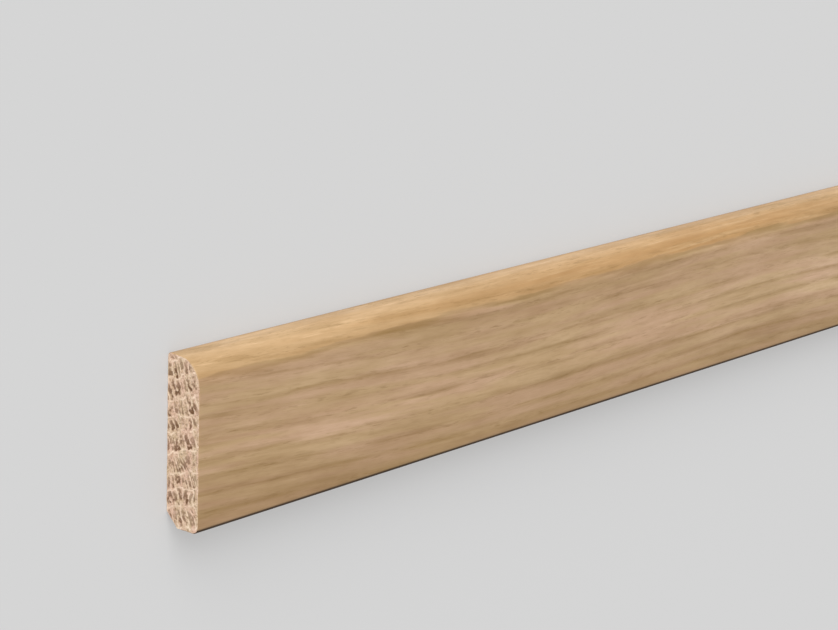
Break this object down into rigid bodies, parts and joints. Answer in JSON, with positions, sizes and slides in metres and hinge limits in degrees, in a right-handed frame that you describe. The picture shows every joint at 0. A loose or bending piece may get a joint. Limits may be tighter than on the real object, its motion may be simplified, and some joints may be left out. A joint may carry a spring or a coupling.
{
  "type": "skirting board length",
  "caption": "Straight length of solid oak skirting board with a rounded top edge, a flat wall side and a bevelled heel, for trimming the joint of wall and floor.",
  "frame": {"origin": "middle of the wall side, on which the board lies: halfway along the length and halfway up the height of the section", "axes": "+X along the length, +Y from the foot to the rounded top, +Z from the wall side to the room side, which is up as it lies"},
  "size_m": [2.4, 0.06, 0.015],
  "materials": {
    "oiled_oak": "satin"
  },
  "bodies": {
    "root": {"skirting_board": "oiled_oak"}
  },
  "joints": []
}
